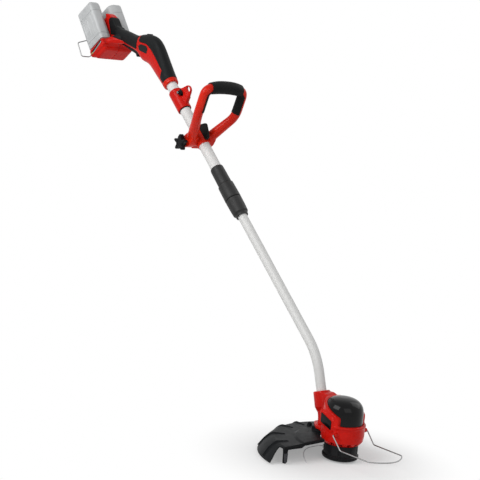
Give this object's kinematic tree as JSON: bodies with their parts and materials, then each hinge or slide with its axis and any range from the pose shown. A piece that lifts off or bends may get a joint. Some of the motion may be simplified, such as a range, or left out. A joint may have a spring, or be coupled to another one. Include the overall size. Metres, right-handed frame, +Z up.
{
  "type": "string trimmer",
  "caption": "Cordless string trimmer: bent telescopic shaft, D handle, trigger handle with battery packs, motor head with guard and bump-feed spool.",
  "frame": {"origin": "bottom centre of the bump knob, on the ground under the spool's axis", "axes": "+X forward from the user to the head, +Y to the user's left, +Z up"},
  "size_m": [1.3017, 0.3565, 1.0148],
  "materials": {
    "red_plastic": "gloss",
    "black_plastic": "satin",
    "soft_grip": "matt",
    "aluminium": "satin",
    "steel": "satin",
    "brass": "satin",
    "pack_grey": "satin",
    "board_green": "satin",
    "nylon": "clear"
  },
  "bodies": {
    "rear_body": {"handle_shell_left": "red_plastic", "handle_shell_right": "red_plastic", "grip_cover": "soft_grip", "front_cover": "soft_grip", "nose_ring": "red_plastic", "side_plate": "black_plastic", "rail_left": "black_plastic", "rail_right": "black_plastic", "terminals_left": "brass", "terminals_right": "brass", "hook_wire": "steel", "tray_strip": "steel", "trigger_switch": "black_plastic", "control_board": "board_green", "upper_tube": "aluminium", "strap_collar": "red_plastic", "collar_liner": "soft_grip", "collar_screw": "steel", "lock_body": "black_plastic", "collet": "nylon", "handle_mount": "red_plastic", "mount_wedge": "soft_grip", "clamp_bolt": "steel"},
    "trigger": {"trigger": "black_plastic"},
    "lock_button": {"lock_button": "black_plastic"},
    "pack_left": {"pack_case_left": "pack_grey"},
    "pack_right": {"pack_case_right": "pack_grey"},
    "pack_button_left": {"pack_button_left": "black_plastic"},
    "pack_button_right": {"pack_button_right": "black_plastic"},
    "front_handle": {"handle_loop": "red_plastic", "handle_grip": "soft_grip"},
    "star_knob": {"star_knob": "black_plastic"},
    "lock_nut": {"lock_nut": "black_plastic"},
    "lower_shaft": {"lower_tube": "aluminium", "tube_bush": "black_plastic", "power_lead": "black_plastic", "motor_housing_left": "red_plastic", "motor_housing_right": "red_plastic", "motor_cap": "black_plastic", "motor": "steel", "guard": "black_plastic", "guard_screw_left": "steel", "guard_screw_right": "steel", "line_knife": "steel", "head_plate": "black_plastic"},
    "wire_guard": {"wire_guard": "steel"},
    "cutting_head": {"drive_shaft": "steel", "spool_housing": "black_plastic", "spool_cover": "black_plastic", "line_eyelet": "steel", "cutting_line": "nylon", "bump_spring": "steel"},
    "bump_feed": {"bump_knob": "black_plastic", "line_reel": "black_plastic", "line_winding": "nylon"}
  },
  "joints": [
    {"name": "trigger_pull", "type": "hinge", "parent": "rear_body", "child": "trigger", "pos_m": [-0.988, 0, 0.914], "axis": [0, -1, 0], "range_deg": [0, 5], "stiffness_Nm_per_rad": 2, "springref_deg": -5.73},
    {"name": "lock_button_press", "type": "slide", "parent": "rear_body", "child": "lock_button", "axis": [0, 0, -1], "range_m": [0, 0.003], "stiffness_N_per_m": 800, "springref_m": -0.002},
    {"name": "front_handle_tilt", "type": "hinge", "parent": "rear_body", "child": "front_handle", "pos_m": [-0.6294, 0, 0.66974], "axis": [0, 1, 0], "range_deg": [-20, 20]},
    {"name": "star_knob_turn", "type": "hinge", "parent": "rear_body", "child": "star_knob", "pos_m": [-0.6294, 0, 0.66974], "axis": [0, 1, 0], "continuous": true},
    {"name": "lock_nut_twist", "type": "hinge", "parent": "rear_body", "child": "lock_nut", "pos_m": [-0.42108, 0, 0.5079], "axis": [-0.7396, 0, 0.673], "range_deg": [0, 120]},
    {"name": "shaft_length", "type": "slide", "parent": "rear_body", "child": "lower_shaft", "axis": [-0.7396, 0, 0.673], "range_m": [0, 0.2], "deforming": ["power_lead"]},
    {"name": "wire_guard_swing", "type": "hinge", "parent": "lower_shaft", "child": "wire_guard", "pos_m": [0.0236, 0, 0.0701], "axis": [0, -1, 0], "range_deg": [0, 100]},
    {"name": "spool_spin", "type": "hinge", "parent": "lower_shaft", "child": "cutting_head", "pos_m": [0, 0, 0], "axis": [0, 0, 1], "continuous": true},
    {"name": "bump_press", "type": "slide", "parent": "cutting_head", "child": "bump_feed", "axis": [0, 0, 1], "range_m": [0, 0.005], "stiffness_N_per_m": 1500, "springref_m": -0.004, "deforming": ["bump_spring"]},
    {"name": "pack_left_slide", "type": "slide", "parent": "rear_body", "child": "pack_left", "axis": [-0.611, 0, 0.7916], "range_m": [0, 0.1]},
    {"name": "pack_button_left_press", "type": "slide", "parent": "pack_left", "child": "pack_button_left", "axis": [0.611, 0, -0.7916], "range_m": [0, 0.003], "stiffness_N_per_m": 800, "springref_m": -0.002},
    {"name": "pack_right_slide", "type": "slide", "parent": "rear_body", "child": "pack_right", "axis": [-0.611, 0, 0.7916], "range_m": [0, 0.1]},
    {"name": "pack_button_right_press", "type": "slide", "parent": "pack_right", "child": "pack_button_right", "axis": [0.611, 0, -0.7916], "range_m": [0, 0.003], "stiffness_N_per_m": 800, "springref_m": -0.002}
  ]
}
